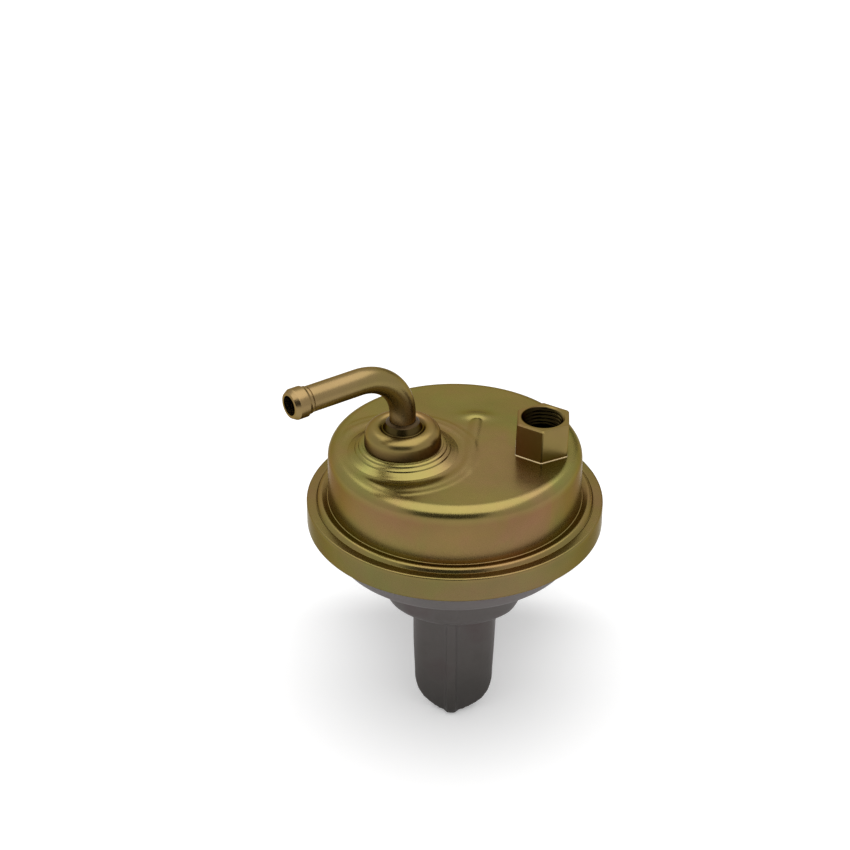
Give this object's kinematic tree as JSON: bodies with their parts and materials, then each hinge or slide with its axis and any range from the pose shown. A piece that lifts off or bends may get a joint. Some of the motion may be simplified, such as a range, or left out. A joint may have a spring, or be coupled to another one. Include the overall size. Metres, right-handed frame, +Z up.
{
  "type": "mechanical fuel pump",
  "caption": "Diaphragm fuel pump worked by a rocker arm, with a stamped plated cover, bent inlet tube, hexagon outlet and a cast body with a two-bolt flange.",
  "frame": {"origin": "midway between the two bolt holes, on the face that bolts to the engine", "axes": "+Z up towards the cover and along the pump's axis, +Y out of the mounting face into the engine, +X to the outlet side"},
  "size_m": [0.0966, 0.1373, 0.1279],
  "materials": {
    "zinc_plated_steel": "yellow chromate over zinc, satin",
    "braze": "as brazed",
    "cast_aluminium": "matte as cast",
    "plain_steel": "plain",
    "gasket_fibre": "matte",
    "nitrile_rubber": "matte",
    "zinc_die_cast": "as cast",
    "valve_resin": "matte",
    "spring_steel": "drawn",
    "forged_steel": "forged and oiled",
    "bronze": "machined"
  },
  "bodies": {
    "housing": {"upper_cover": "zinc_plated_steel", "inlet_cap": "zinc_plated_steel", "inlet_tube": "zinc_plated_steel", "outlet_fitting": "zinc_plated_steel", "tube_braze_ring": "braze", "outlet_braze_fillet": "braze", "lower_housing": "cast_aluminium", "valve_plate": "plain_steel", "cover_gasket": "gasket_fibre", "chamber_divider": "nitrile_rubber", "inlet_valve_seat": "zinc_die_cast", "outlet_valve_seat": "zinc_die_cast", "inlet_valve_stem": "zinc_die_cast", "outlet_valve_stem": "zinc_die_cast", "inlet_valve_spring": "spring_steel", "outlet_valve_spring": "spring_steel", "main_diaphragm": "nitrile_rubber", "diaphragm_spring": "spring_steel", "oil_seal": "nitrile_rubber", "seal_retainer": "plain_steel", "pivot_pin": "plain_steel", "arm_return_spring": "spring_steel"},
    "rocker": {"rocker_arm": "forged_steel", "rocker_bush": "bronze"},
    "diaphragm": {"pull_rod": "plain_steel", "diaphragm_upper_washer": "plain_steel", "diaphragm_lower_washer": "plain_steel", "arm_spring_cap": "plain_steel"},
    "inlet_valve": {"inlet_valve_disc": "valve_resin"},
    "outlet_valve": {"outlet_valve_disc": "valve_resin"}
  },
  "joints": [
    {"name": "rocker_pivot", "type": "hinge", "parent": "housing", "child": "rocker", "pos_m": [0, -0.02, -0.004], "axis": [1, 0, 0], "range_deg": [0, 8], "stiffness_Nm_per_rad": 8, "springref_deg": -8.59},
    {"name": "diaphragm_stroke", "type": "slide", "parent": "housing", "child": "diaphragm", "axis": [0, 0, -1], "range_m": [0, 0.0042], "deforming": ["diaphragm_spring", "arm_return_spring", "main_diaphragm"]},
    {"name": "inlet_valve_lift", "type": "slide", "parent": "housing", "child": "inlet_valve", "axis": [0, 0, -1], "range_m": [0, 0.0012], "stiffness_N_per_m": 60, "springref_m": -0.002, "deforming": ["inlet_valve_spring"]},
    {"name": "outlet_valve_lift", "type": "slide", "parent": "housing", "child": "outlet_valve", "axis": [0, 0, 1], "range_m": [0, 0.0012], "stiffness_N_per_m": 60, "springref_m": -0.002, "deforming": ["outlet_valve_spring"]}
  ],
  "couplings": [
    {"joint": "diaphragm_stroke", "follows": "rocker_pivot", "m_per_rad": 0.03}
  ]
}
